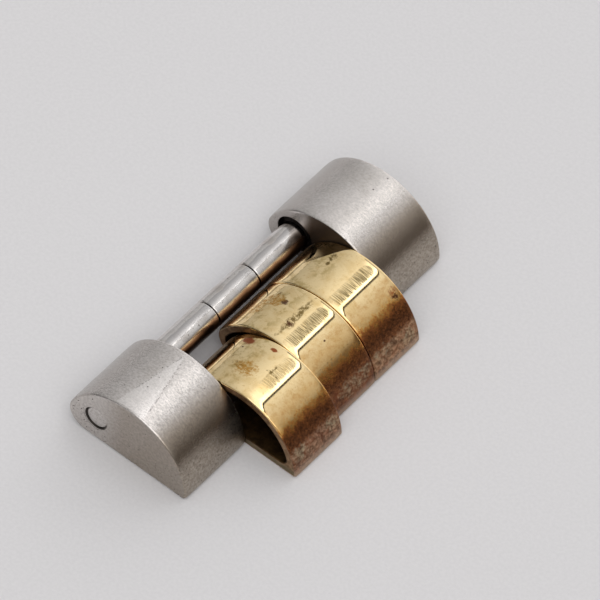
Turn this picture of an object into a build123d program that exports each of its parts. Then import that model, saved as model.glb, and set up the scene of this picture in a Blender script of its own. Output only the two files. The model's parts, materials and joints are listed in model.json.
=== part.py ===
from build123d import *
import math
import os

# One link of a two-tone, five-piece watch bracelet, taken out of its bracelet.
# Two solid steel outer links with a half-round back are joined by two round pins.
# The removable pin at the rounded nose carries three loose steel sleeves in the open.
# The fixed pin behind it carries three more sleeves, one inside each hollow centre link.
# Units are millimetres. X runs along the bracelet from the nose to the tail, Y along the
# pins from the near side to the far side, and Z up. The origin is the middle of the
# link's footprint, on the surface that it rests on.

# Outer links
outer_width = 3.70          # along the pins
outer_height = 3.13         # at the top of the back
outer_nose_radius = 0.85
outer_crown_x = 2.93        # from the nose to the top of the back
outer_tail_radius = 0.20
outer_edge_radius = 0.10    # worn side edges

# Centre links, hollow shells of one outline and of slightly different widths
centre_width_near = 2.90
centre_width_middle = 2.80
centre_width_far = 2.78
centre_height = 2.87
centre_nose_radius = 0.85
centre_crown_x = 2.80
centre_tail_radius = 0.16
centre_edge_chamfer = 0.06
centre_wall = 0.40
centre_cavity_corner_radius = 0.30
side_gap = 0.03             # between neighbouring links

# Pins, and their places in the outer links
pin_radius = 0.50
pin_chamfer = 0.05
pin_height = 1.22           # axis above the underside
removable_pin_x = 1.38      # axis from the nose
pin_spacing = 3.05          # half the bracelet's pitch
pin_end_recess = 0.02       # removable pin below the outer faces
pin_mouth_chamfer = 0.08
counterbore_radius = 0.86
counterbore_depth = 0.30
blind_bore_depth = 2.70     # fixed pin's bores, from the inner faces
fixed_pin_end_gap = 0.10    # between the fixed pin and the bore's end

# Sleeves
sleeve_radius = 0.65
sleeve_running_gap = 0.03   # radial, on the pin
sleeve_chamfer = 0.05
side_hinge_sleeve_trim = 0.12     # how much shorter than its centre link
middle_hinge_sleeve_trim = 0.30
side_front_sleeve_length = 2.93   # these reach into the counterbores
middle_front_sleeve_length = 2.50
front_sleeve_gap = 0.04     # between neighbouring front sleeves
front_sleeve_reach = 0.05   # of the last one into the far counterbore

# How the loose centre links lie
near_slide_share = 0.646    # of the slide that the near centre link has gone toward the tail
stop_gap = 0.015            # kept from the front sleeves at the end of the slide
seat_gap = 0.02             # kept from the hinge sleeve at the other end

overrun = 1.0               # cuts reach this far past a face

# Worked out from the sizes above
centre_widths = {
    "near": centre_width_near,
    "middle": centre_width_middle,
    "far": centre_width_far,
}
inner_gap = sum(centre_widths.values()) + (len(centre_widths) + 1) * side_gap
whole_width = 2 * outer_width + inner_gap
fixed_pin_x = removable_pin_x + pin_spacing


def back_circle(height, nose_radius, crown_x):
    """Radius and centre height of the back's arc, which the nose arc meets in line."""
    rise = height - 2 * nose_radius
    radius = ((crown_x - nose_radius) ** 2 / rise + height) / 2
    return radius, height - radius


centre_back_radius, centre_back_z = back_circle(centre_height, centre_nose_radius, centre_crown_x)


def tail_centre_x(height, nose_radius, crown_x, tail_radius):
    """Centre of the small arc that blunts the tail, inside the back's arc and on the underside."""
    radius, centre_z = back_circle(height, nose_radius, crown_x)
    return crown_x + math.sqrt((radius - tail_radius) ** 2 - (tail_radius - centre_z) ** 2)


centre_length = centre_tail_radius + tail_centre_x(
    centre_height, centre_nose_radius, centre_crown_x, centre_tail_radius
)

# The middle and far centre links have slid back until a nose that swings past the
# front sleeves just clears them.
nose_reach = pin_spacing - sleeve_radius - stop_gap - centre_nose_radius
stop_nose_x = (
    fixed_pin_x - centre_nose_radius - math.sqrt(nose_reach**2 - (pin_height - centre_nose_radius) ** 2)
)
# At the other end of the slide the cavity's roof meets the hinge sleeve.
roof_reach = centre_back_radius - centre_wall - sleeve_radius - seat_gap
seat_nose_x = (
    fixed_pin_x - centre_crown_x + math.sqrt(roof_reach**2 - (pin_height - centre_back_z) ** 2)
)
near_link_nose_x = stop_nose_x + near_slide_share * (seat_nose_x - stop_nose_x)
nose_places = {"near": near_link_nose_x, "middle": stop_nose_x, "far": stop_nose_x}

run = near_link_nose_x + centre_length
nose_x = -run / 2
near_y = -whole_width / 2
inner_near_y = near_y + outer_width
inner_far_y = inner_near_y + inner_gap


def link_outline(height, nose_radius, crown_x, tail_radius):
    """Side view of a link: flat underside, round nose, one arc for the back, blunt tail."""
    radius, back_z = back_circle(height, nose_radius, crown_x)
    back_centre = Vector(crown_x, back_z)
    nose_centre = Vector(nose_radius, nose_radius)
    tail_centre = Vector(tail_centre_x(height, nose_radius, crown_x, tail_radius), tail_radius)
    nose_end = nose_centre + (nose_centre - back_centre).normalized() * nose_radius
    tail_end = tail_centre + (tail_centre - back_centre).normalized() * tail_radius
    foot = Vector(nose_centre.X, 0)
    heel = Vector(tail_centre.X, 0)
    low_left = nose_centre + Vector(-1, -1).normalized() * nose_radius
    low_right = tail_centre + Vector(1, -1).normalized() * tail_radius
    nose = ThreePointArc(foot, low_left, nose_end)
    back = ThreePointArc(nose_end, Vector(crown_x, height), tail_end)
    tail = ThreePointArc(tail_end, low_right, heel)
    return make_face([nose, back, tail, Line(heel, foot)])


def along_pins(face, start_y, width):
    """Extrude a side view, drawn with Z as its second axis, along the pins."""
    plane = Plane(origin=(0, start_y, 0), x_dir=(1, 0, 0), z_dir=(0, -1, 0))
    return extrude(plane * face, amount=-width)


def rod(radius, start_y, length, x, z=pin_height):
    """A round bar along the pins, or the tool that drills one's bore."""
    plane = Plane(origin=(nose_x + x, start_y, z), x_dir=(1, 0, 0), z_dir=(0, 1, 0))
    return extrude(plane * Circle(radius), amount=length)


def side_edges(solid, *faces_y):
    """The outline edges that lie in the side faces at the given places."""
    picked = ShapeList()
    for face_y in faces_y:
        face = solid.faces().filter_by(Axis.Y).sort_by(lambda f: abs(f.center().Y - face_y))[0]
        picked += face.outer_wire().edges()
    return picked


def outer_link(start_y, outer_face_y, inner_face_y):
    """A solid steel link with a through bore, a counterbore and a blind bore."""
    outline = link_outline(outer_height, outer_nose_radius, outer_crown_x, outer_tail_radius)
    body = along_pins(Pos(nose_x, 0) * outline, start_y, outer_width)
    body = fillet(side_edges(body, outer_face_y, inner_face_y), outer_edge_radius)
    inward = math.copysign(1, inner_face_y - outer_face_y)
    body -= rod(pin_radius, start_y - overrun, outer_width + 2 * overrun, removable_pin_x)
    floor_y = inner_face_y - inward * counterbore_depth
    body -= rod(counterbore_radius, floor_y, inward * (counterbore_depth + overrun), removable_pin_x)
    end_y = inner_face_y - inward * blind_bore_depth
    body -= rod(pin_radius, end_y, inward * (blind_bore_depth + overrun), fixed_pin_x)
    mouth = body.edges().filter_by(GeomType.CIRCLE)
    mouth = mouth.sort_by(lambda e: abs(e.arc_center.Y - outer_face_y) + abs(e.radius - pin_radius))[0]
    return chamfer(mouth, pin_mouth_chamfer)


def pin(start_y, length, x):
    """A plain round pin with its ends broken."""
    body = rod(pin_radius, start_y, length, x)
    return chamfer(body.edges().filter_by(GeomType.CIRCLE), pin_chamfer)


def sleeve(start_y, length, x):
    """A thin steel tube that turns on its pin."""
    body = rod(sleeve_radius, start_y, length, x)
    body = chamfer(body.edges().filter_by(GeomType.CIRCLE), sleeve_chamfer)
    return body - rod(pin_radius + sleeve_running_gap, start_y - overrun, length + 2 * overrun, x)


def centre_link(start_y, width, place_x):
    """A hollow shell, open at both sides, with one wall all round."""
    outline = link_outline(centre_height, centre_nose_radius, centre_crown_x, centre_tail_radius)
    body = along_pins(Pos(nose_x + place_x, 0) * outline, start_y, width)
    body = chamfer(side_edges(body, start_y, start_y + width), centre_edge_chamfer)
    cavity = link_outline(
        centre_height, centre_nose_radius, centre_crown_x, centre_wall + centre_cavity_corner_radius
    )
    cavity = offset(cavity, amount=-centre_wall)
    return body - along_pins(
        Pos(nose_x + place_x, 0) * cavity, start_y - overrun, width + 2 * overrun
    )


parts = {}
parts["outer_link_near"] = outer_link(near_y, near_y, inner_near_y)
parts["outer_link_far"] = outer_link(inner_far_y, -near_y, inner_far_y)
parts["removable_pin"] = pin(
    near_y + pin_end_recess, whole_width - 2 * pin_end_recess, removable_pin_x
)
fixed_pin_reach = blind_bore_depth - fixed_pin_end_gap
parts["fixed_pin"] = pin(
    inner_near_y - fixed_pin_reach, inner_gap + 2 * fixed_pin_reach, fixed_pin_x
)

# The front sleeves lie end to end, slid over to the far side.
front_lengths = {
    side: middle_front_sleeve_length if side == "middle" else side_front_sleeve_length
    for side in centre_widths
}
stack = sum(front_lengths.values()) + (len(front_lengths) - 1) * front_sleeve_gap
sleeve_y = inner_far_y + front_sleeve_reach - stack
link_y = inner_near_y + side_gap
for side, width in centre_widths.items():
    parts["front_sleeve_" + side] = sleeve(sleeve_y, front_lengths[side], removable_pin_x)
    trim = middle_hinge_sleeve_trim if side == "middle" else side_hinge_sleeve_trim
    parts["hinge_sleeve_" + side] = sleeve(link_y + trim / 2, width - trim, fixed_pin_x)
    parts["centre_link_" + side] = centre_link(link_y, width, nose_places[side])
    sleeve_y += front_lengths[side] + front_sleeve_gap
    link_y += width + side_gap

os.makedirs("parts", exist_ok=True)
for name, shape in parts.items():
    export_step(shape, "parts/" + name + ".step")

for side, place in nose_places.items():
    print(side, "centre link slides from", stop_nose_x - place, "to", seat_nose_x - place)
print("pins at x", nose_x + removable_pin_x, "and", nose_x + fixed_pin_x, "height", pin_height)
print("whole size", run, whole_width, outer_height)
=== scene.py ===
# %% [markdown]
# # A two-tone bracelet link
#
# One link of a five-piece watch bracelet, taken out of its bracelet: two satin steel
# outer links with a half-round back, three hollow gold centre links between them, and
# two pins with steel sleeves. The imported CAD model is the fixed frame, and everything
# here is in metres in that frame. Each finished surface is placed by the box of the CAD
# node that it stands for.

import json
import math

import bpy
import numpy as np
from mathutils import Matrix, Vector


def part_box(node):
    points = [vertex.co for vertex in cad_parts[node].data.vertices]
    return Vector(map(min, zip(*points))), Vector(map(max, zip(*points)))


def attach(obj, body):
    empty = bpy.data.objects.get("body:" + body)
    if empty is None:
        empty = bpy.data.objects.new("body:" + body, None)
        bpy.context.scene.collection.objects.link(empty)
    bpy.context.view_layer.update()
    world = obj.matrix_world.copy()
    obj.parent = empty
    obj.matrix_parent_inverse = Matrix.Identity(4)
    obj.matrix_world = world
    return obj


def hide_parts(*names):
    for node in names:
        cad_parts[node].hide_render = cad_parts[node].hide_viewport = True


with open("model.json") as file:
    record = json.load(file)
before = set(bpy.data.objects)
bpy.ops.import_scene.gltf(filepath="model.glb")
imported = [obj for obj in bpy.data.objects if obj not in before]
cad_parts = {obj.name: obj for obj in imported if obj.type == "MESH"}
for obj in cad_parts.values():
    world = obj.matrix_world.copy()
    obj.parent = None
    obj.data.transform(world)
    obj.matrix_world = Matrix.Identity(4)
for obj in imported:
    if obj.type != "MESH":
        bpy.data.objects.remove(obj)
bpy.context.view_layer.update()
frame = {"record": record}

# %% [markdown]
# ## Sizes that the boxes don't give
#
# A box gives where a piece is, but not its radii, nor where the pins go through it.
# These sizes could be measured off the CAD meshes, but typed in they read like a
# drawing. A size that only one kind of piece has stands in that piece's own cell.

# %% Sizes that the pieces share, in metres
MM = 0.001

NOSE_RADIUS = 0.85 * MM
PIN_RADIUS = 0.50 * MM
PIN_HEIGHT = 1.22 * MM           # the pins' axes above the underside
PIN_FROM_NOSE = 1.38 * MM
PIN_SPACING = 3.05 * MM

SIDES, OUTER_SIDES = ("near", "middle", "far"), ("near", "far")
nose_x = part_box("outer_link_near")[0].x
pin_x = nose_x + PIN_FROM_NOSE
hinge_x = pin_x + PIN_SPACING
print("pins at x", round(pin_x / MM, 3), "and", round(hinge_x / MM, 3), "mm")

# %% [markdown]
# ## Surfaces from rings
#
# Every piece here is a profile carried along the pins, so one builder makes them all.
# An extrusion with a Bevel modifier could do it too, but rings put points just where the
# edges and the wear need them. Each ring has the same number of points and is joined to
# the next. A tube or a shell closes on itself, as its last ring meets its first one. A
# pin closes with a point at each end. If the volume inside comes out negative, the faces
# are turned round, so they always point outward.

# %% A closed surface from a stack of rings
SHARP_ANGLE = math.radians(32)
surfaces = {}                    # every finished surface, by the CAD node it stands for


def six_volumes(points, faces):
    """Six times the volume inside: each face, cut into triangles, adds its triple product."""
    first, *others = (points[corner] for corner in faces.T)
    return sum(np.sum(first * np.cross(a, b)) for a, b in zip(others, others[1:]))


def ring_surface(node, ending, rings, ends=None, zones=None):
    """Joins ring after ring with four-sided faces, held inside the CAD node's box.

    ends gives two points that close the stack, and zones gives each ring's material number.
    """
    low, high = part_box(node)
    rings = np.clip(np.asarray(rings, float), low, high)
    count, around = rings.shape[:2]
    points = rings.reshape(-1, 3)
    index = np.arange(count * around).reshape(count, around)
    beside = np.roll(index, -1, axis=1)
    above, above_beside = np.roll(index, -1, axis=0), np.roll(beside, -1, axis=0)
    quads = np.stack([index, beside, above_beside, above], -1)
    caps = np.empty((0, 3), int)
    if ends is not None:
        quads = quads[:-1]
        first_end, last_end = len(points), len(points) + 1
        caps = np.concatenate([
            np.stack([beside[0], index[0], np.full(around, first_end)], -1),
            np.stack([index[-1], beside[-1], np.full(around, last_end)], -1),
        ])
        points = np.concatenate([points, ends])
    quads = quads.reshape(-1, 4)
    volume = (six_volumes(points, quads) + six_volumes(points, caps)) / 6
    if volume < 0:
        quads, caps = quads[:, ::-1], caps[:, ::-1]
    name = node + ending
    mesh = bpy.data.meshes.new(name)
    mesh.from_pydata(points.tolist(), [], quads.tolist() + caps.tolist())
    if zones is not None:
        mesh.polygons.foreach_set("material_index", np.repeat(np.int32(zones), around))
    mesh.shade_smooth()
    mesh.set_sharp_from_angle(angle=SHARP_ANGLE)
    piece = bpy.data.objects.new(name, mesh)
    bpy.context.scene.collection.objects.link(piece)
    surfaces[node] = piece
    print(name, "faces", len(quads) + len(caps), "volume", round(abs(volume) / MM**3, 2), "mm3")


# %% [markdown]
# ## The side view of a link
#
# Seen from the side, every link is one closed line of arcs that meet in line: a round
# nose, one large arc for the back, a small arc that blunts the tail, and a flat
# underside. A curve object could draw it, but the arcs' own formula gives the normals
# as well. A point of an arc is its centre plus the radius times (cos, sin) of its
# angle, and the normal there is that same (cos, sin). So a line inside at a constant
# depth, such as a cavity's wall, is the profile less that depth times the normal.

# %% The profile and its normals
NOSE_STEPS, BACK_STEPS, TAIL_STEPS, UNDER_STEPS = 56, 150, 24, 84


def link_profile(height, crown, tail_radius):
    """Points and outward normals (x from the nose, z), from the foot over the back and home.

    The back's arc touches the nose's: its radius is ((c-n)^2 / (h-2n) + h) / 2 for the
    crown c, the nose radius n and the height h, and its centre lies that far below h.
    """
    back_radius = ((crown - NOSE_RADIUS) ** 2 / (height - 2 * NOSE_RADIUS) + height) / 2
    back_z = height - back_radius
    tail_x = crown + math.sqrt((back_radius - tail_radius) ** 2 - (tail_radius - back_z) ** 2)
    nose_turn = math.atan2(NOSE_RADIUS - back_z, NOSE_RADIUS - crown)
    tail_turn = math.atan2(tail_radius - back_z, tail_x - crown)
    arcs = [
        (NOSE_RADIUS, NOSE_RADIUS, NOSE_RADIUS, np.linspace(1.5 * np.pi, nose_turn, NOSE_STEPS)),
        (crown, back_z, back_radius, np.linspace(nose_turn, tail_turn, BACK_STEPS)[1:-1]),
        (tail_x, tail_radius, tail_radius, np.linspace(tail_turn, -0.5 * np.pi, TAIL_STEPS)),
    ]
    normals = [np.stack([np.cos(turns), np.sin(turns)], -1) for *_, turns in arcs]
    points = [(x, z) + radius * out for (x, z, radius, _), out in zip(arcs, normals)]
    under = np.linspace((tail_x, 0), (NOSE_RADIUS, 0), UNDER_STEPS)[1:-1]
    down = np.tile((0.0, -1.0), (len(under), 1))
    return np.concatenate([*points, under]), np.concatenate([*normals, down])


print("points over nose, back, tail, underside", NOSE_STEPS, BACK_STEPS, TAIL_STEPS, UNDER_STEPS)

# %% [markdown]
# ## Worn edges
#
# Years of rubbing have rounded the side edges and drawn the back down a little beside
# them. A Bevel modifier gives the first but not the second, so both are rings at
# falling depths inside the profile: a quarter circle, and behind it a shoulder that
# eases out.

# %% Rings over edges and rims
EDGE_STEPS, SMALL_EDGE_STEPS, SHOULDER_STEPS = 12, 5, 12
FLAT_LIP = 0.02 * MM             # a ring this far inside a flat face keeps its shading flat


def at(profile, y):
    """A ring: a profile in x and z, put at one place along the pins."""
    return np.insert(profile, 1, y, axis=1)


def quarter_circle(steps):
    """Depths 1-sin t and places 1-cos t over an edge of radius 1, as t turns by 90 degrees."""
    t = np.linspace(0, np.pi / 2, steps)
    return 1 - np.sin(t), 1 - np.cos(t)


def edge_rings(points, normals, face_y, inward, radius, steps, shoulder=(0, 0)):
    """Rings over a worn edge, from the side face to the back: a quarter circle of radius r.

    Behind it a shoulder of width w eases out from depth s: depth s(1-q)^3, place r + wq.
    """
    width, sink = shoulder
    depth, place = quarter_circle(steps)
    depths = [sink + radius + FLAT_LIP, *(sink + radius * depth)]
    places = [0.0, *(radius * place)]
    if width:
        eased = np.linspace(0, 1, SHOULDER_STEPS)[1:]
        depths += list(sink * (1 - eased) ** 3)
        places += list(radius + width * eased)
    return [
        at(points - normals * depth, face_y + inward * place)
        for depth, place in zip(depths, places)
    ]


def across_rings(points, normals, first_y, last_y, radius, steps=EDGE_STEPS, shoulder=(0, 0)):
    """Rings from one face to the other: over the first edge, along, and over the last one."""
    inward = math.copysign(1, last_y - first_y)
    first = edge_rings(points, normals, first_y, inward, radius, steps, shoulder)
    last = edge_rings(points, normals, last_y, -inward, radius, steps, shoulder)
    return first + last[::-1]


def about_pin(profile, radius, y):
    """A ring round the pin: the points of its circle on the rays to a profile's points."""
    centre = (pin_x, PIN_HEIGHT)
    rays = profile - centre
    return at(centre + radius * rays / np.linalg.norm(rays, axis=1, keepdims=True), y)


def rim(radius, edge, y, inward, steps):
    """(radius, y) pairs over a rim's quarter circle. An edge below 0 widens a hole's mouth."""
    depth, place = quarter_circle(steps)
    return list(zip(radius - edge * depth, y + inward * abs(edge) * place))


print("rings over a worn edge and its shoulder", EDGE_STEPS + SHOULDER_STEPS)

# %% [markdown]
# ## Outer links
#
# Each outer link is a solid block of steel with softly worn side edges. The removable
# pin's hole has a chamfered mouth on the outer face, and on the inner one a counterbore,
# where the row of front sleeves can end. A Boolean modifier could drill it, but that
# leaves long thin faces that shade badly. Here the rings go from the outer face over the
# back to the inner face, down the counterbore and back through the bore, as one skin.

# %% The outer links' surfaces
OUTER_CROWN = 2.93 * MM          # from the nose to the top of the back
OUTER_TAIL_RADIUS = 0.20 * MM
OUTER_EDGE = 0.09 * MM           # worn side edges
OUTER_SHOULDER = (0.36 * MM, 0.012 * MM)   # how far the wear reaches in, and how deep
COUNTERBORE_RADIUS = 0.86 * MM
COUNTERBORE_DEPTH = 0.30 * MM
BORE_EDGE = 0.03 * MM
PIN_MOUTH = 0.05 * MM            # chamfer round the pin's end


def outer_link_surface(side):
    """One outer link, from its outer face over the back and home through the bore."""
    low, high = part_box("outer_link_" + side)
    outer_y, inner_y = (low.y, high.y) if side == "near" else (high.y, low.y)
    inward = math.copysign(1, inner_y - outer_y)
    points, normals = link_profile(high.z, OUTER_CROWN, OUTER_TAIL_RADIUS)
    points[:, 0] += nose_x
    floor_y = inner_y - inward * COUNTERBORE_DEPTH
    rings = across_rings(points, normals, outer_y, inner_y, OUTER_EDGE, shoulder=OUTER_SHOULDER)
    bore = [
        (COUNTERBORE_RADIUS + BORE_EDGE + FLAT_LIP, inner_y),
        *rim(COUNTERBORE_RADIUS, -BORE_EDGE, inner_y, -inward, SMALL_EDGE_STEPS),
        (COUNTERBORE_RADIUS, floor_y),
        (PIN_RADIUS, floor_y),
        (PIN_RADIUS, outer_y + inward * PIN_MOUTH),
        (PIN_RADIUS + PIN_MOUTH, outer_y),
    ]
    rings += [about_pin(points, radius, y) for radius, y in bore]
    ring_surface("outer_link_" + side, "_surface", rings)


for side in OUTER_SIDES:
    outer_link_surface(side)

# %% [markdown]
# ## Centre links
#
# The centre links are hollow gold shells, open at both sides, which keeps them light. A
# Solidify modifier could make the wall, but not the cavity's larger corners at the
# tail. So the cavity is the same profile with a larger tail radius, less the wall. Both
# lines have the same number of points, which pairs them one to one across the rim.

# %% The centre links' shells
CENTRE_CROWN = 2.80 * MM
CENTRE_TAIL_RADIUS = 0.16 * MM
CENTRE_EDGE = 0.07 * MM
CENTRE_SHOULDER = (0.26 * MM, 0.010 * MM)
CENTRE_WALL = 0.40 * MM
CAVITY_CORNER = 0.30 * MM
CAVITY_EDGE = 0.03 * MM
OUTSIDE, RIM, CAVITY = range(3)  # the three finishes of a centre link


def centre_link_surface(side):
    """One hollow centre link: over the back to its far rim, and home through the cavity."""
    low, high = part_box("centre_link_" + side)
    points, normals = link_profile(high.z, CENTRE_CROWN, CENTRE_TAIL_RADIUS)
    cavity, outward = link_profile(high.z, CENTRE_CROWN, CENTRE_WALL + CAVITY_CORNER)
    cavity -= outward * CENTRE_WALL
    points[:, 0] += low.x
    cavity[:, 0] += low.x
    outside = across_rings(points, normals, low.y, high.y, CENTRE_EDGE, shoulder=CENTRE_SHOULDER)
    hollow = across_rings(cavity, -outward, high.y, low.y, CAVITY_EDGE, SMALL_EDGE_STEPS)
    zones = [OUTSIDE] * (len(outside) - 1) + [RIM] + [CAVITY] * (len(hollow) - 1) + [RIM]
    ring_surface("centre_link_" + side, "_shell", outside + hollow, zones=zones)


for side in SIDES:
    centre_link_surface(side)

# %% [markdown]
# ## Pins and sleeves
#
# These are turned on a lathe. A Screw modifier could sweep them, but the ring builder
# already closes its ends: a half profile of radius against place along the pin is swept
# round the axis. The ends of the sleeves are rolled over, which shows as a pale ring
# beside each seam.

# %% Turned pieces
SLEEVE_BORE = 0.53 * MM
SLEEVE_EDGE = 0.06 * MM
REMOVABLE_PIN_EDGE, FIXED_PIN_EDGE = 0.07 * MM, 0.05 * MM
PIN_CROWN = 0.02 * MM            # how far a pin's end face bulges
AROUND, END_STEPS = 128, 7       # points round a piece, and rings over its rim

turn_angles = np.linspace(0, 2 * np.pi, AROUND, endpoint=False)
circle = np.stack([np.sin(turn_angles), np.cos(turn_angles)], -1)


def turned_rings(half_profile, axis_x):
    """Sweeps (radius, y) pairs round a pin's axis: x and z are the radius times sin and cos."""
    return [at((axis_x, PIN_HEIGHT) + radius * circle, y) for radius, y in half_profile]


def sleeve_surface(node, axis_x):
    """A steel tube with rolled-over ends and a plain bore."""
    low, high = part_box(node)
    radius = (high.z - low.z) / 2
    outside = rim(radius, SLEEVE_EDGE, low.y, 1, END_STEPS)
    outside += rim(radius, SLEEVE_EDGE, high.y, -1, END_STEPS)[::-1]
    bore = [(SLEEVE_BORE, high.y), (SLEEVE_BORE, low.y)]
    ring_surface(node, "_tube", turned_rings(outside + bore, axis_x))


def pin_surface(node, axis_x, edge):
    """A round pin with rounded rims. Halfway out, its crowned ends have fallen by a quarter."""
    low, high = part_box(node)
    half = rim(PIN_RADIUS, edge, low.y + PIN_CROWN, 1, END_STEPS)
    half = [(0.5 * (PIN_RADIUS - edge), low.y + 0.25 * PIN_CROWN)] + half
    half += [(radius, low.y + high.y - y) for radius, y in half[::-1]]
    ends = [(axis_x, low.y, PIN_HEIGHT), (axis_x, high.y, PIN_HEIGHT)]
    ring_surface(node, "_bar", turned_rings(half, axis_x), ends)


for side in SIDES:
    sleeve_surface("front_sleeve_" + side, pin_x)
    sleeve_surface("hinge_sleeve_" + side, hinge_x)
pin_surface("removable_pin", pin_x, REMOVABLE_PIN_EDGE)
pin_surface("fixed_pin", hinge_x, FIXED_PIN_EDGE)

# %% [markdown]
# ## Writing materials as sums
#
# A pattern is a formula of the place on the piece. It could be wired by hand in the
# node editor, but a formula is easier to read, so the wrapper below lets a material be
# written as one. Adding, multiplying or comparing wrapped sockets adds the Math nodes,
# and every other node comes from one method.

# %% The socket wrapper
def operator(operation):
    """A method that adds one kind of Math node."""
    return lambda socket, *others: socket.maths(operation, *others)


class Socket:
    """One output of a node tree. Its operators add Math nodes, and node() adds any other kind."""

    def __init__(self, tree, socket=None):
        self.tree, self.socket = tree, socket

    def node(self, kind, settings=None, output=0, **values):
        """Adds a node: settings first, then each named input, a value or a wrapped socket."""
        made = self.tree.nodes.new("ShaderNode" + kind)
        for name, value in (settings or {}).items():
            if name == "stops":
                set_stops(made.color_ramp, value)
            else:
                setattr(made, name, value)
        for name, value in values.items():
            slot = int(name[1:]) if name[0] == "_" else name.replace("_", " ")
            if isinstance(value, Socket):
                self.tree.links.new(value.socket, made.inputs[slot])
            else:
                made.inputs[slot].default_value = value
        return Socket(self.tree, made.outputs[output] if made.outputs else None)

    def apart(self):
        """The three parts of a vector."""
        outputs = self.node("SeparateXYZ", Vector=self).socket.node.outputs
        return [Socket(self.tree, output) for output in outputs]

    def mix(self, amount, under, over):
        """One colour over another by an amount from 0 to 1."""
        return self.node("Mix", {"data_type": "RGBA"}, output=2, _0=amount, _6=under, _7=over)

    def layers(self, colour, *layers):
        """Lays (amount, tint) pairs over a colour, one after the other."""
        for amount, tint in layers:
            colour = self.mix(amount, colour, tint)
        return colour

    def maths(self, operation, *others):
        """A Math node on this socket and the others, in their order."""
        values = {"_%d" % n: value for n, value in enumerate((self,) + others)}
        return self.node("Math", {"operation": operation}, **values)

    __add__ = __radd__ = operator("ADD")
    __mul__ = __rmul__ = operator("MULTIPLY")
    __sub__, __truediv__ = operator("SUBTRACT"), operator("DIVIDE")
    __gt__, __lt__ = operator("GREATER_THAN"), operator("LESS_THAN")
    __abs__ = operator("ABSOLUTE")

    def __rsub__(self, other):
        return self * -1 + other

    def ramp(self, start, end):
        """0 below start, 1 above end, and smooth between them. start may be the larger one."""
        low, high = sorted((start, end))
        eased = self.node("MapRange", {"interpolation_type": "SMOOTHSTEP"},
                          Value=self, From_Min=low, From_Max=high)
        return 1 - eased if start > end else eased

    def band(self, start, end, soft):
        """1 between start and end, falling to 0 over the soft distance outside them."""
        return self.ramp(start - soft, start) * self.ramp(end + soft, end)


def set_stops(ramp, stops):
    """Sets a colour ramp's stops from (place, colour) pairs."""
    while len(ramp.elements) < len(stops):
        ramp.elements.new(1.0)
    for element, (place, colour) in zip(ramp.elements, stops):
        element.position, element.color = place, colour


# %% [markdown]
# ## A metal finish
#
# All the metals here are one shader with different colours, roughness and bumps. Their
# patterns are solid noise, read at the place on the piece in millimetres. That needs no
# unwrapping, and it never shows a seam.

# %% The finish that every material starts from
class Finish:
    """A new material that knows the place on its piece, in millimetres."""

    def __init__(self, name):
        self.material = bpy.data.materials.new(name)
        self.material.use_nodes = True
        self.tree = self.material.node_tree
        self.tree.nodes.clear()
        self.start = Socket(self.tree)
        place = self.start.node("TexCoord", output="Object")
        self.place = self.start.node("Mapping", Vector=place, Scale=(1 / MM,) * 3)
        self.x, self.y, self.z = self.place.apart()
        self.mix, self.layers = self.start.mix, self.start.layers

    def vector(self, x, y, z):
        """A place to read noise at, from its three parts."""
        return self.start.node("CombineXYZ", X=x, Y=y, Z=z)

    def noise(self, scale, at=None, detail=2.0, roughness=0.5, distortion=0.0):
        """Noise from 0 to 1, with about scale blotches to the millimetre."""
        return self.start.node("TexNoise", Vector=at or self.place, Scale=scale, Detail=detail,
                               Roughness=roughness, Distortion=distortion)

    def finish(self, colour, roughness, bumps=(), metallic=1.0):
        """The metal shader. bumps are (height, strength, millimetres) from coarse to fine."""
        values = {"Base_Color": colour, "Roughness": roughness, "Metallic": metallic}
        for height, strength, depth in bumps:
            under = {"Normal": values["Normal"]} if "Normal" in values else {}
            values["Normal"] = self.start.node(
                "Bump", Height=height, Strength=strength, Distance=depth * MM, **under)
        self.start.node("OutputMaterial", Surface=self.start.node("BsdfPrincipled", **values))
        print("material", self.material.name, "nodes", len(self.tree.nodes))
        return self.material


def rgb(*parts):
    """A screen colour, 0 to 255, in linear light: v/12.92 near black, else a power of 2.4."""
    shares = [part / 255 for part in parts]
    light = [v / 12.92 if v <= 0.04045 else ((v + 0.055) / 1.055) ** 2.4 for v in shares]
    return (*light, 1.0)


# %% [markdown]
# ## Bearings on a link
#
# Wear and stains sit at places on the back. They could be painted on an image, but that
# needs an unwrapped back and a file. So the materials measure two things there: the turn
# round the back's centre, 90 degrees at the crown and less towards the tail, and the
# place across the link from its near face. A stain is a soft round mask in those two,
# with its rim pushed about by noise.

# %% Turns, stains and hairlines
DEGREES = 180 / math.pi          # in one radian
OWN_PATTERN = 9                  # times a link's width: shifts the noise from link to link


def back_centre(height, crown):
    """Height of the back arc's centre above the underside, as in link_profile, in metres."""
    return height - ((crown - NOSE_RADIUS) ** 2 / (height - 2 * NOSE_RADIUS) + height) / 2


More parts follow.
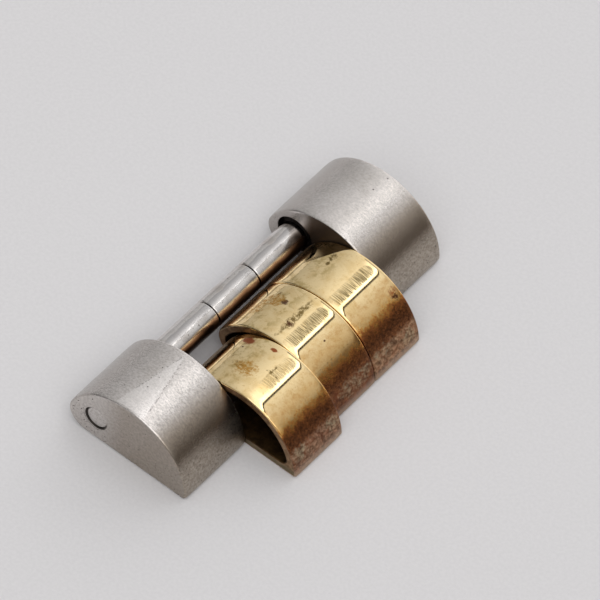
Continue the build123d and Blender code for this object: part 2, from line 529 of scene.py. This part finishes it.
class LinkFinish(Finish):
    """A finish that knows the turn round its link's back, and the place across it."""

    def __init__(self, name, node, crown):
        super().__init__(name)
        low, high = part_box(node)
        self.low_y, self.high_y = low.y / MM, high.y / MM
        self.width = (high.y - low.y) / MM
        rise = self.z - back_centre(high.z, crown) / MM
        self.turn = rise.maths("ARCTAN2", self.x - (low.x + crown) / MM) * DEGREES
        self.across = self.y - self.low_y
        self.wobble = self.noise(5, detail=4, roughness=0.6) - 0.5

    def stain(self, turn, across, half_turn, half_across, ragged=2.2):
        """1 in an oval on the back: its reach is the root of two squared shares, plus noise."""
        sideways = (self.turn - turn) / half_turn
        lengthways = (self.across - across) / half_across
        reach = (sideways * sideways + lengthways * lengthways).maths("SQRT")
        return (reach + self.wobble * ragged).ramp(1.3, 0.7)

    def hairlines(self, scale, stretch, lean=0.0, detail=2):
        """Noise drawn out round the back to fine lines, leaning by so many mm a degree."""
        drawn_out = self.turn / (DEGREES * stretch)
        place = self.vector(drawn_out, self.across + self.turn * lean, self.width * OWN_PATTERN)
        return self.noise(scale, at=place, detail=detail)


outer_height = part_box("outer_link_near")[1].z
print("an outer back's centre in mm", round(back_centre(outer_height, OUTER_CROWN) / MM, 3))


# %% [markdown]
# ## Satin steel
#
# The outer links have a fine satin finish that years of wear have softened. A close
# look shows grain of a few hundredths of a millimetre, drawn out a little along the
# bracelet, with smudges and dark specks, and a brown film with pits low on the tail's
# side, whose darkness is partly painted shade. The steel is also painted greyer down the
# nose, and darker behind the pin on the outer face, both painted shade. An anisotropic
# shader could stand for brushed steel, but this grain is too uneven for that, so it is
# noise in the colour, the roughness and the bumps.

# %% Noises on the satin steel
FAR_SHIFT = 37.0                 # mm through the noise, so that the two outer links differ


class SatinFinish(LinkFinish):
    """An outer link's finish, and the noises that its marks share, each from 0 to 1."""

    def __init__(self, side):
        super().__init__("satin_steel_" + side, "outer_link_" + side, OUTER_CROWN)
        self.near = side == "near"
        faces = (self.low_y, self.high_y)
        self.face_y, self.inner_y = faces if self.near else faces[::-1]
        self.shift = shift = 0.0 if self.near else FAR_SHIFT
        self.moved = self.vector(self.x + shift, self.y, self.z)
        drawn_out = self.vector(self.x * 0.6 + shift, self.y, self.z * 0.6)
        self.grain = self.noise(13, at=drawn_out, detail=5, roughness=0.72)
        self.smudge = self.noise(0.8, at=self.moved, detail=4, roughness=0.6)
        scaly = self.vector(self.x + shift, self.y * 0.7, self.z)
        self.scale = self.noise(9, at=scaly, detail=6, roughness=0.75).ramp(0.32, 0.68)
        self.low_tail = self.turn.ramp(40, 30)


def steel_ground(f):
    """Pale steel, browner down the tail, with painted shade on the tail, nose and outer face."""
    tail_film_and_shade = f.mix(f.scale, rgb(150, 139, 126), rgb(194, 184, 171))
    on_face = abs(f.y - f.face_y) < 0.005
    painted_shade_behind_pin = f.x.ramp(pin_x / MM, pin_x / MM + 1.5)
    face_colour = f.mix(painted_shade_behind_pin, rgb(214, 208, 203), rgb(178, 168, 157))
    return f.layers(
        rgb(223, 217, 213),
        (f.smudge.ramp(0.35, 0.68), rgb(214, 208, 203)),
        (f.turn.ramp(72, 52), rgb(174, 161, 147)),
        # partly painted shade: the brown tail film, darker and warmer low on the tail
        (f.turn.ramp(36, 29) * 0.85, tail_film_and_shade),
        # painted shade: greyer down the nose
        (f.turn.ramp(116, 130), rgb(203, 197, 192)),
        (f.turn.ramp(122, 136), rgb(190, 184, 179)),
        # painted shade: the outer face darker behind the pin
        (on_face * 0.9, face_colour),
        (f.grain.ramp(0.34, 0.70) * (0.37 if f.near else 0.26), rgb(92, 84, 77)),
    )


def steel_specks(f):
    """Specks at the middles of scattered cells, where dust lies, and pits low on the tail."""
    cell = f.start.node("TexVoronoi", Vector=f.moved, Scale=2.6, output="Distance")
    dusty = f.noise(1.1, at=f.vector(f.x, f.y + f.shift, f.z), detail=1).ramp(0.50, 0.62)
    speck = (cell < 0.085) * dusty
    pits = f.noise(10, at=f.moved, detail=2).ramp(0.62, 0.68) * f.low_tail
    return (speck * 0.8 + pits * 0.45).maths("MINIMUM", 1.0)


# %% [markdown]
# ## Painted shade, dirt and scuffs on the steel
#
# Shade is painted in: in the groove round the pin's end, on the inner faces behind the
# pin, and in the counterbores. On the near link two long scuffs hold dots of dirt, with
# a painted highlight between them, a paler wedge. Dirt could be small meshes too, but it
# is thinner than a hair, so masks by distance from an axis, a face or a line are enough.

# %% Masks for the dirt, the painted shade and the painted highlight on the steel
# Each scuff is its turn, its place from the near face, and its degrees to the mm.
SCUFFS = ((99.4, 1.22, -3.15), (79.6, 0.65, 4.0))
SCUFF_LENGTH = 2.3               # mm across the link
FACE_DEPTH = 0.012               # mm that still count as the inner face


def pin_reach(f):
    """Distance from the removable pin's axis in mm: the root of the two squared offsets."""
    sideways, rise = f.x - pin_x / MM, f.z - PIN_HEIGHT / MM
    return (sideways * sideways + rise * rise).maths("SQRT")


def pin_end_shade_and_nicks(f):
    """Painted shade in the groove round the pin's end, thickest on its lower side, and nicks
    beside it.

    lower_side is the cosine of the angle from the direction down and towards the nose.
    """
    reach = pin_reach(f)
    lower_side = ((f.x - pin_x / MM) * -0.55 + (f.z - PIN_HEIGHT / MM) * -0.83) / reach
    on_end = abs(f.y - f.face_y) < 0.12
    # painted shade in the groove and in a second ring, on the lower side
    groove_shade = reach.band(0.475, 0.555, 0.015) * lower_side.ramp(-0.6, 0.2)
    second_shade_ring = reach.band(0.615, 0.635, 0.012) * lower_side.ramp(0.35, 0.8)
    aslant = f.vector(f.x * 1.5 - f.z, f.z * 0.6, 0.0)
    nicks = f.noise(9, at=aslant, detail=2, roughness=0.4).ramp(0.63, 0.68)
    nicks = nicks * reach.band(0.62, 1.15, 0.2) * lower_side.ramp(-0.1, 0.5)
    return (groove_shade + second_shade_ring * 0.7 + nicks * 0.8).maths("MINIMUM", 1.0) * on_end


def inner_painted_shade(f, colour):
    """Painted shade: brown on the inner face behind the pin, and dark down the counterbore."""
    inside = abs(f.y - f.inner_y)
    in_counterbore = (inside > FACE_DEPTH) * (inside < COUNTERBORE_DEPTH / MM + 0.01)
    # painted shade down the counterbore
    hollow = in_counterbore * (pin_reach(f) < COUNTERBORE_RADIUS / MM + 0.02)
    # painted shade on the inner face behind the pin
    shaded_inner_face = (inside < FACE_DEPTH) * f.x.ramp(pin_x / MM, pin_x / MM + 0.8) * 0.95
    colour = f.layers(colour, (shaded_inner_face, rgb(74, 60, 48)), (hollow, rgb(58, 52, 48)))
    return colour, hollow + shaded_inner_face


def near_scuffs(f, colour):
    """Dotted dirt within a degree of each scuff's line, and a painted highlight wedge between
    them.

    A point's offset from a scuff is its turn less the line's own turn at that place.
    """
    dots = f.noise(9, detail=4, roughness=0.7).ramp(0.46, 0.60)
    dirt, offsets = 0.0, []
    for turn, across, lean in SCUFFS:
        offset = f.turn - turn - (f.across - across) * lean + f.wobble * 2
        along = f.across.band(across, across + SCUFF_LENGTH, 0.3)
        dirt = abs(offset).ramp(1.1, 0.1) * dots * along * 0.55 + dirt
        offsets.append(offset)
    before, behind = offsets
    on_back = f.across > OUTER_EDGE / MM
    # painted highlight: a paler wedge between the two scuffs, on the back
    painted_highlight_wedge = before.ramp(1.6, -0.8) * behind.ramp(-0.8, 1.6) * on_back
    return f.mix(painted_highlight_wedge * (0.80 - f.grain * 0.6), colour, rgb(242, 237, 234)), dirt


# %% [markdown]
# ## The whole satin finish
#
# A worn link got its marks one after the other, and the last ones lie on top. One long
# formula could hold them all, but laying each over the ones before it follows how they
# came: the satin ground, the painted shade inside, the near link's scuffs, and fresh dirt
# over them with the painted shade round the pin's end.

# %% Satin steel for the outer links
def satin_steel(side):
    """The marks in their order. Dirt and painted shade also dull it, by up to 0.3 of roughness.
    """
    f = SatinFinish(side)
    colour, grime_and_shade = inner_painted_shade(f, steel_ground(f))
    dirt = steel_specks(f)
    if f.near:
        colour, scuffed = near_scuffs(f, colour)
        dirt = dirt + scuffed
    # The pin end's painted shade joins the dirt here, and both are mixed in dark below.
    dirt = (dirt + pin_end_shade_and_nicks(f) * 0.95).maths("MINIMUM", 1.0)
    colour = f.mix(dirt, colour, rgb(52, 46, 42))
    roughness = 0.18 + f.grain * 0.08 + f.smudge * 0.03 + f.low_tail * 0.06
    roughness = roughness + (dirt + grime_and_shade) * 0.3
    return f.finish(colour, roughness, [
        (f.scale * f.low_tail, 0.4, 0.006),
        (f.grain, 0.60, 0.010),
        (f.noise(38, at=f.moved, detail=2), 0.50, 0.004),
    ])


for side in OUTER_SIDES:
    surfaces["outer_link_" + side].data.materials.append(satin_steel(side))

# %% [markdown]
# ## Polished gold and its worn patches
#
# The centre links were polished, and are now mottled with amber and olive. Where the
# top of the back rubs, each carries a worn patch of short scratches that run along the
# bracelet. An image of scratches would be quicker, but hairlines of noise stay sharp
# close up. They are only a few thousandths of a millimetre deep, so they are bumps.

# %% Gold, and the patches worn in it
RED_BROWN, OLIVE = rgb(146, 60, 10), rgb(120, 98, 52)
AMBER, DARK_BROWN = rgb(190, 138, 58), rgb(86, 50, 36)

# Each worn patch is its first and last place across the link, how grey it is, and how
# much the outline of its round end shows.
WORN_PATCHES = {
    "near": (0.9, 2.66, 0.55, 0.0),
    "middle": (0.22, 2.52, 0.95, 1.0),
    "far": (0.16, 2.50, 0.90, 0.0),
}
PATCH_TURN, PATCH_HALF_TURN = 81.2, 4.9   # degrees
PATCH_ROUND_END = 0.22           # mm


class GoldFinish(LinkFinish):
    """A centre link's finish, and the noises that its marks share, each from 0 to 1."""

    def __init__(self, side):
        super().__init__("polished_gold_" + side, "centre_link_" + side, CENTRE_CROWN)
        self.mottle = self.noise(1.3, detail=5, roughness=0.62, distortion=0.5)
        self.freckle = self.noise(7, detail=5, roughness=0.68)
        moved = self.vector(self.x + self.width * OWN_PATTERN, self.y, self.z)
        self.cloud = self.noise(2.2, at=moved, detail=6, roughness=0.7)
        self.torn = self.noise(2.6, detail=8, roughness=0.75)
        self.soot = self.noise(9, detail=7, roughness=0.85)


def gold_ground(f):
    """Mottled gold, deeper down the tail, with olive clouds before the crown, amber behind."""
    olive_cloud = f.cloud.ramp(0.47, 0.62) * f.turn.ramp(96, 106)
    moved = f.vector(f.x, f.y * 0.8 + f.width * 5, f.z)
    amber_cloud = f.noise(3.2, at=moved, detail=7, roughness=0.75).ramp(0.42, 0.70)
    return f.layers(
        rgb(250, 224, 172),
        (f.mottle.ramp(0.42, 0.72) * 0.8, rgb(228, 196, 136)),
        (f.turn.ramp(72, 54) * 0.7, rgb(232, 188, 122)),
        (f.freckle.ramp(0.54, 0.72) * 0.38, AMBER),
        (olive_cloud * 0.58, rgb(176, 150, 84)),
        (amber_cloud * f.turn.band(50, 66, 8) * 0.55, rgb(196, 138, 60)),
    )


def worn_patch(f, side, colour):
    """The colour with the patch worn in it, how worn each point is, and its scratches' height.

    The reach, 1 on the outline, adds the squares of the shares of the half turn and the
    round end.
    """
    first, last, greyness, outline = WORN_PATCHES[side]
    into_end = (f.across - last + PATCH_ROUND_END).maths("MAXIMUM", 0.0) / PATCH_ROUND_END
    beside = (f.turn - PATCH_TURN) / PATCH_HALF_TURN
    reach = into_end * into_end + beside * beside
    top = (f.turn + (f.hairlines(20, 9.0) - 0.5) * 14).ramp(91.5, 80.5)
    foot = (f.turn + (f.hairlines(16, 9.0, detail=1) - 0.5) * 8).ramp(74.2, 77.2)
    patch = reach.ramp(1.4, 0.8) * foot * top * f.across.ramp(first - 0.15, first + 0.25)
    scratches = f.hairlines(30, 6.0, lean=0.002, detail=1).ramp(0.34, 0.62)
    edging = reach.band(0.75, 1.0, 0.15) * (into_end > 0.1) * outline
    worn = (patch * (0.34 + scratches * 0.66)).maths("MAXIMUM", edging * 0.5)
    return f.mix(worn * greyness, colour, rgb(108, 94, 62)), worn, scratches * patch


# %% [markdown]
# ## Stains
#
# Sweat has left red-brown, amber and olive stains on the gold. They lie where they
# happened to form, so they are a list: more can be added without touching the
# material. A strong one is solid, and a faint one is broken up by the freckles.

# %% Stains on the gold
# Each stain is its turn, place from the near face, half sizes in degrees and mm, colour,
# and how solid it is, to 1.
STAINS = {
    "near": [
        (121.5, 2.50, 6.0, 0.21, RED_BROWN, 1.0), (97.0, 2.52, 3.2, 0.09, RED_BROWN, 1.0),
        (104.0, 1.15, 9.0, 0.38, AMBER, 0.60), (112.0, 1.20, 5.0, 0.26, OLIVE, 0.38),
        (118.0, 1.75, 9.0, 0.40, OLIVE, 0.26), (84.5, 1.58, 5.0, 0.06, OLIVE, 0.55),
        (86.0, 1.64, 1.2, 0.28, OLIVE, 0.50), (121.0, 2.08, 1.0, 0.04, DARK_BROWN, 0.7),
    ],
    "middle": [
        (109.5, 1.80, 3.0, 0.14, DARK_BROWN, 0.9), (119.0, 1.75, 8.0, 0.34, AMBER, 0.60),
        (126.0, 1.20, 7.0, 0.40, AMBER, 0.5), (93.3, 1.35, 2.9, 1.0, OLIVE, 0.62),
        (92.5, 1.02, 3.2, 0.18, DARK_BROWN, 0.60), (65.0, 1.45, 0.8, 0.05, DARK_BROWN, 0.8),
        (121.0, 2.10, 8.0, 0.30, OLIVE, 0.36), (51.3, 1.30, 0.45, 1.0, OLIVE, 0.45),
    ],
    "far": [
        (109.5, 1.95, 2.8, 0.28, OLIVE, 0.55), (108.5, 1.60, 1.4, 0.10, OLIVE, 0.7),
        (134.0, 2.10, 4.0, 0.30, DARK_BROWN, 0.55), (128.0, 2.45, 9.0, 0.30, OLIVE, 0.55),
        (55.0, 2.44, 5.0, 0.22, RED_BROWN, 0.55), (52.5, 2.38, 2.6, 0.18, DARK_BROWN, 0.75),
    ],
}


def stained_gold(f, side, colour):
    """The stains, more freckled the fainter they are, and how stained each point is."""
    stained = 0.0
    for *oval, tint, strength in STAINS[side]:
        sparse = 0.66 - strength * 0.50
        solid = sparse + 0.34 - strength * 0.22
        shape = f.stain(*oval, ragged=2.7 - strength * 1.1)
        broken = shape * f.freckle.ramp(sparse, solid)
        colour = f.mix(broken * 0.92, colour, tint)
        stained = broken.maths("MAXIMUM", stained)
    return colour, stained


print("stains", {side: len(stains) for side, stains in STAINS.items()})

# %% [markdown]
# ## Tarnish and the rough tail
#
# Towards the tail the polish has gone. A tarnish deepens from amber to dark brown, with
# soot in it, and the tail itself is rough and coppery with pale crusts, paler still at the
# very bottom as a painted reflection of the table. The noses are brown too, where grime
# from the sleeves collects, and their fronts are darkened as painted shade. A plain
# gradient would look painted, so noise first tears the turn about, and a colour ramp
# reads the tarnish's depth.

# %% Tarnish, crusts and brown noses
TARNISH_BEGINS = {"near": 51.5, "middle": 48.5, "far": 54.0}   # its turn
TARNISH_REACH = 15               # degrees over which it deepens
# Share of that way, and colour
TARNISH_STOPS = [
    (0.0, rgb(246, 206, 136)), (0.18, rgb(240, 184, 104)), (0.36, rgb(206, 138, 68)),
    (0.55, rgb(150, 88, 46)), (0.73, rgb(128, 70, 37)), (1.0, rgb(112, 62, 37)),
]
# The dark and the pale streaks of the rough tail
TAIL_COLOURS = {
    "near": (rgb(100, 68, 48), rgb(190, 150, 120)),
    "middle": (rgb(86, 52, 32), rgb(152, 100, 66)),
    "far": (rgb(108, 76, 52), rgb(204, 164, 128)),
}
# Each crust is its turn, place from the near face, and half sizes.
CRUSTS = {
    "near": [(25, 2.45, 6, 0.40), (24, 0.55, 6, 0.45)],
    "middle": [(24, 1.70, 8, 0.90)],
    "far": [(28, 0.60, 6, 0.45), (20, 2.2, 7, 0.35)],
}


def tarnished_gold(f, side, colour):
    """The tarnish by its depth, which is the torn turn past its beginning over its reach."""
    torn_turn = f.turn + (f.torn - 0.5) * 30 + (f.soot - 0.5) * 24
    depth = (TARNISH_BEGINS[side] - torn_turn) / TARNISH_REACH
    tarnish = f.start.node("ValToRGB", {"stops": TARNISH_STOPS}, Fac=depth)
    brown = depth.ramp(-0.05, 0.5)
    return f.layers(
        colour,
        (depth.ramp(-0.05, 0.15) * 0.94, tarnish),
        (brown * f.soot.ramp(0.50, 0.60) * 0.80, rgb(46, 23, 12)),
        (brown * f.soot.ramp(0.48, 0.37) * 0.72, rgb(192, 122, 70)),
    ), brown


def nose_grime_and_shade(f, colour):
    """Pale grime on the nose, then a front of painted shade, and how much grime there is."""
    nose = (f.turn + f.wobble * 10).ramp(134, 148)
    # painted shade: the nose's front darker, below the sleeves
    front = (f.turn + f.wobble * 6).ramp(151, 158)
    grime_and_shade = (nose * 0.80, rgb(200, 172, 142)), (front * 0.75, rgb(104, 66, 42))
    return f.layers(colour, *grime_and_shade), nose


def rough_tail(f, side, colour):
    """The tail over the colour, how much of it there is, and its streaks along the pins."""
    dark, pale = TAIL_COLOURS[side]
    tail = (f.turn + f.wobble * 10).ramp(32, 27)
    drawn_out = f.vector(f.turn / DEGREES * 4.0, f.across, 0.0)
    streaks = f.noise(5, at=drawn_out, detail=8, roughness=0.8)
    flaky = (streaks + (f.torn - 0.5) * 0.4).ramp(0.40, 0.72)
    coppery = f.layers(
        dark,
        (streaks.ramp(0.38, 0.62), pale),
        (f.cloud.ramp(0.46, 0.62) * 0.5, rgb(146, 84, 54)),
        (f.torn.ramp(0.48, 0.60) * 0.60, rgb(76, 50, 36)),
        # painted reflection: the very bottom of the tail paler, as the table shows in it
        (f.turn.ramp(16, 6) * 0.6, rgb(196, 178, 158)),
        *((f.stain(*crust) * flaky * 0.8, rgb(190, 180, 148)) for crust in CRUSTS[side]),
    )
    return f.mix(tail, colour, coppery), tail, streaks


# %% [markdown]
# ## The three finishes of a centre link
#
# The outside lays all those marks over the gold, from the oldest to the newest. The
# side faces are dull and brownish, darker towards the underside, and the cavity is
# painted dark brown, as shade. Three materials on one mesh keep the borders between them
# as crisp as the edges are.

# %% Gold for the centre links
def polished_gold(side):
    """The outside: each mark adds its colour, its roughness and, where it is rough, a bump."""
    f = GoldFinish(side)
    colour, worn, scratches = worn_patch(f, side, gold_ground(f))
    colour, stained = stained_gold(f, side, colour)
    colour, brown = tarnished_gold(f, side, colour)
    colour, nose = nose_grime_and_shade(f, colour)
    colour, tail, streaks = rough_tail(f, side, colour)
    roughness = 0.045 + f.mottle * 0.03 + brown * 0.20 + nose * 0.30 + tail * 0.26
    roughness = roughness + (worn + stained) * 0.23
    return f.finish(colour, roughness, [
        (f.noise(1.4, detail=2), 0.08, 0.012),
        (scratches, 0.35, 0.003),
        ((f.soot - 0.5) * brown, 0.80, 0.010),
        ((streaks - 0.5) * tail, 0.60, 0.018),
    ])


def gold_rim(side):
    """The side faces of a shell: brownish, dull, darker and greener towards the underside."""
    f = Finish("gold_rim_" + side)
    blotch = f.noise(4, detail=4, roughness=0.65)
    colour = f.mix(blotch.ramp(0.35, 0.65), rgb(164, 132, 100), rgb(122, 94, 66))
    # darker and greener towards the underside
    colour = f.mix(f.z.ramp(0.55, 0.15) * 0.7, colour, rgb(112, 108, 84))
    return f.finish(colour, 0.36 + blotch * 0.15, [(f.noise(12, detail=4), 0.5, 0.010)])


def gold_cavity(side):
    """The inside of a shell: dark brown over gold in blotches of two browns, as painted shade."""
    f = Finish("gold_cavity_" + side)
    blotch = f.noise(2.5, detail=5, roughness=0.65)
    # painted shade: the hollow's inside dark brown
    colour = f.mix(blotch.ramp(0.35, 0.65), rgb(96, 72, 44), rgb(60, 44, 28))
    return f.finish(colour, 0.38 + blotch * 0.2, [(f.noise(8, detail=4), 0.5, 0.012)])


for side in SIDES:
    for finish in (polished_gold, gold_rim, gold_cavity):
        surfaces["centre_link_" + side].data.materials.append(finish(side))

# %% [markdown]
# ## Polished tube and drawn bar
#
# The sleeves are steel tubes, polished once and now greyed by rub marks round them. The
# front ones have a painted reflection of the brown noses that they face, with painted
# shade below it, and a painted shadow of the far outer link at their far end. The pins
# are drawn steel bar, with its lines along them. Both could be one steel, but the marks
# run different ways, so each has noise stretched its own way.

# %% Steel for the sleeves and the pins
# Where the painted shadow of the far outer link begins on the sleeves, in mm
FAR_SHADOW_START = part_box("outer_link_far")[0].y / MM - 0.45


def sleeve_reflection_and_shade(f, facing, smear, colour):
    """Painted reflection and shade by smeared turn: 0 to the tail from x = facing, 90 on top."""
    height = f.z - PIN_HEIGHT / MM
    turn = height.maths("ARCTAN2", f.x - facing / MM) * DEGREES + (smear - 0.5) * 30
    painted_reflection = turn.band(-80, 33, 14)
    far_link_shadow = f.y.ramp(FAR_SHADOW_START - 0.25, FAR_SHADOW_START + 0.1) * turn.ramp(84, 56)
    return f.layers(
        colour,
        (turn.band(77, 100, 6) * 0.8, rgb(172, 169, 168)),
        # painted reflection of the brown noses, on the side facing them
        (painted_reflection * 0.8, rgb(150, 108, 80)),
        # painted shade on the underside
        (turn.band(-80, 20, 14) * 0.90, rgb(62, 44, 30)),
        # painted shadow of the far outer link
        (far_link_shadow * 0.8, rgb(86, 70, 58)),
    ), painted_reflection


def polished_steel(name, facing=None):
    """Steel with rub marks round the tube, and painted reflection and shade where facing gives
    its axis.
    """
    f = Finish(name)
    rub = f.noise(7, at=f.vector(f.x, f.y * 5, f.z), detail=4, roughness=0.65)
    drawn = f.noise(10, at=f.vector(f.x, f.y * 0.25, f.z), detail=3)
    smear = f.noise(1.2, detail=4)
    painted_reflection = 0.0
    colour = f.layers(
        rgb(224, 220, 217),
        (smear.ramp(0.38, 0.68), rgb(202, 195, 189)),
        (f.noise(6, detail=3).ramp(0.66, 0.72) * 0.6, rgb(96, 82, 70)),
        (rub.ramp(0.5, 0.7) * 0.35, rgb(166, 158, 152)),
    )
    if facing is not None:
        colour, painted_reflection = sleeve_reflection_and_shade(f, facing, smear, colour)
    roughness = 0.11 + rub * 0.10 + painted_reflection * 0.14
    return f.finish(colour, roughness, [(rub, 0.50, 0.004), (drawn, 0.55, 0.006)])


def pin_steel(name):
    """Drawn bar: noise stretched along the pin sets its greys, its roughness and its bumps."""
    f = Finish(name)
    drawn = f.noise(12, at=f.vector(f.x, f.y * 0.3, f.z), detail=3)
    colour = f.mix(drawn.ramp(0.4, 0.7), rgb(212, 207, 203), rgb(186, 180, 174))
    return f.finish(colour, 0.26 + drawn * 0.12, [(drawn, 0.3, 0.004)])


steels = {
    "front_sleeve": polished_steel("polished_steel_front_tube", facing=pin_x),
    "hinge_sleeve": polished_steel("polished_steel_hinge_tube"),
}
steels["removable_pin"] = steels["fixed_pin"] = pin_steel("pin_steel_bar")
for kind, steel in steels.items():
    for node in (node for node in surfaces if node.startswith(kind)):
        surfaces[node].data.materials.append(steel)

# %% [markdown]
# ## What each surface stands for
#
# Every surface replaces its own CAD node and rides on that node's body, so it turns and
# slides with the joints. Which body that is could be typed in here, but the frame's
# record already says it.

# %% Standing the surfaces in the frame
SLOTS = {
    "outer_link": "satin_steel", "centre_link": "yellow_gold",
    "front_sleeve": "polished_steel", "hinge_sleeve": "polished_steel",
    "removable_pin": "pin_steel", "fixed_pin": "pin_steel",
}
body_of_node = {
    node: body for body, nodes in frame["record"]["behaviour"]["bodies"].items() for node in nodes
}
for node, piece in surfaces.items():
    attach(piece, body_of_node[node])
    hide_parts(node)
    kind = next(kind for kind in SLOTS if node.startswith(kind))
print("surfaces in place", len(surfaces))

# %% [markdown]
# ## The table
#
# The link stands on a pale, matt table. One large square is enough, because its edges
# stay far outside the picture, and a faint mottle keeps it from looking like paper.

# %% The table
TABLE_HALF = 0.6                 # metres from its middle to its edge
TABLE_ROUGHNESS = 0.75


def table_material():
    """Pale grey of two close shades by noise, with no metal in it."""
    f = Finish("pale_table")
    mottle = f.noise(7, detail=3)
    colour = f.mix(mottle.ramp(0.25, 0.75), rgb(220, 218, 219), rgb(215, 213, 214))
    return f.finish(colour, TABLE_ROUGHNESS, metallic=0.0)


table_mesh = bpy.data.meshes.new("pale_table")
corners = ((-1, -1), (1, -1), (1, 1), (-1, 1))
table_mesh.from_pydata(
    [(x * TABLE_HALF, y * TABLE_HALF, 0) for x, y in corners], [], [(0, 1, 2, 3)])
pale_table = bpy.data.objects.new("pale_table", table_mesh)
bpy.context.scene.collection.objects.link(pale_table)
table_mesh.materials.append(table_material())

# %% [markdown]
# ## The studio sky
#
# Polished metal shows what is round it, so the light comes from long soft panels beside
# the link: a bright one high up with a thin dark frame, a wide even one beyond it, and
# a dark room low on the tail's side. Area lamps could make them, but a sky painted by
# direction has no stray edges to catch in the polish. Its level depends first on the
# turn about the pins' direction, and then on how far the direction points along them.

# %% The sky's levels
SKY_TOP = 3.0                    # a ramp holds 0 to 1, so its greys are shares of this
WARM_DARK, WARM_DIM = (0.082, 0.064, 0.049), (0.20, 0.170, 0.145)

# Turn about the pins' direction in degrees, from the tail's side over the top, and level
TAIL_SKY = ((0, WARM_DARK), (14, WARM_DARK), (29, WARM_DIM), (37, 0.50), (50, 0.70))
NOSE_SKY = ((117, 0.84), (133, 0.66), (150, 0.56), (172, 0.48), (180, 0.44))
OPEN_SKY = (*TAIL_SKY, (62, 0.74), (76, 0.76), (92, 0.84), *NOSE_SKY)
PANEL_SKY = (
    *TAIL_SKY, (62, 0.78), (76.8, 0.94), (77.5, 0.02), (80.4, 0.02), (81.0, 2.40),
    (86.0, 2.25), (88.8, 1.45), (99, 1.38), (106, 0.98), *NOSE_SKY,
)


def shade(level):
    """A sky colour in shares of the top: each of its parts, or its one grey, over the top."""
    parts = level if isinstance(level, tuple) else (level,) * 3
    return tuple(part / SKY_TOP for part in parts) + (1,)


print("levels in the open sky", len(OPEN_SKY), "and in the panel's", len(PANEL_SKY))

# %% The studio sky
ALONG_BACKS = 0.506              # how far along the pins the backs reflect
PANEL_LEAN, LEAN_LIMITS = 0.34, (-0.40, 0.15)   # the panels lean away from there, so far
PANEL_END, PANEL_FRAME = 0.61, 0.03   # where the panel ends along the pins, and its dark end

world = bpy.data.worlds.new("studio_sky")
bpy.context.scene.world = world
world.use_nodes = True
world.node_tree.nodes.clear()
sky = Socket(world.node_tree)
towards_x, along_pins, upward = sky.node("TexCoord", output="Generated").apart()
lean = (along_pins - ALONG_BACKS).maths("MINIMUM", LEAN_LIMITS[1])
lean = lean.maths("MAXIMUM", LEAN_LIMITS[0])
share = upward.maths("ARCTAN2", towards_x) / math.pi - lean * PANEL_LEAN


def between(first, last, soft):
    """1 where the leaning turn lies between two angles in degrees; soft is in half turns."""
    return share.band(first / 180, last / 180, soft)


def half_turn(levels):
    """A colour ramp that reads the leaning turn as a share of half a turn."""
    stops = [(turn / 180, shade(level)) for turn, level in levels]
    return share.node("ValToRGB", {"stops": stops}, Fac=share)


frame_end = along_pins.band(PANEL_END, PANEL_END + PANEL_FRAME, 0.004)
far_wall = along_pins.ramp(0.66, 0.74)
low_near = along_pins.ramp(0.40, 0.25) * upward.ramp(0.60, 0.10)
near_panel = along_pins.band(-0.75, -0.20, 0.1)
sky_colour = sky.layers(
    half_turn(OPEN_SKY),
    (along_pins < PANEL_END, half_turn(PANEL_SKY)),
    (frame_end * between(79, 105, 0.004) * 0.9, shade(0.06)),
    (far_wall * 0.6, shade(1.6)),
    (low_near * 0.7, shade(0.0)),
    (near_panel * between(66, 122, 0.03), shade(1.7)),
)
sky.node("OutputWorld", Surface=sky.node("Background", Color=sky_colour, Strength=SKY_TOP))
print("sky nodes", len(world.node_tree.nodes))

# %% [markdown]
# ## The camera
#
# A long lens looks down on the link from above its tail and near side. It could be
# aimed with a Track To constraint, but a bearing, a height angle and a distance are what
# a photographer notes down. It is rolled a few degrees, as a hand-held camera is.

# %% The camera
BEARING, HEIGHT_ANGLE, ROLL = (math.radians(v) for v in (33.772, 52.519, 6.81))
DISTANCE = 0.30855
FOCAL_LENGTH, SENSOR_WIDTH = 465.03, 36
LOOK_AT = Vector((-1.1691 * MM, 2.664 * MM, 0))

back = Vector((
    math.sin(BEARING) * math.cos(HEIGHT_ANGLE),
    -math.cos(BEARING) * math.cos(HEIGHT_ANGLE),
    math.sin(HEIGHT_ANGLE),
))
right = Vector((math.cos(BEARING), math.sin(BEARING), 0))
upright = back.cross(right)
rolled_right = math.cos(ROLL) * right + math.sin(ROLL) * upright
rolled_up = back.cross(rolled_right)
lens = bpy.data.cameras.new("long_lens")
lens.lens, lens.sensor_width = FOCAL_LENGTH, SENSOR_WIDTH
lens.clip_start, lens.clip_end = 0.01, 10
camera = bpy.data.objects.new("long_lens", lens)
bpy.context.scene.collection.objects.link(camera)
bearings = Matrix((rolled_right, rolled_up, back)).transposed().to_4x4()
camera.matrix_world = Matrix.Translation(LOOK_AT + back * DISTANCE) @ bearings
bpy.context.scene.camera = camera
bpy.context.scene.view_settings.view_transform = "Standard"
print("camera at", [round(v, 4) for v in camera.location])
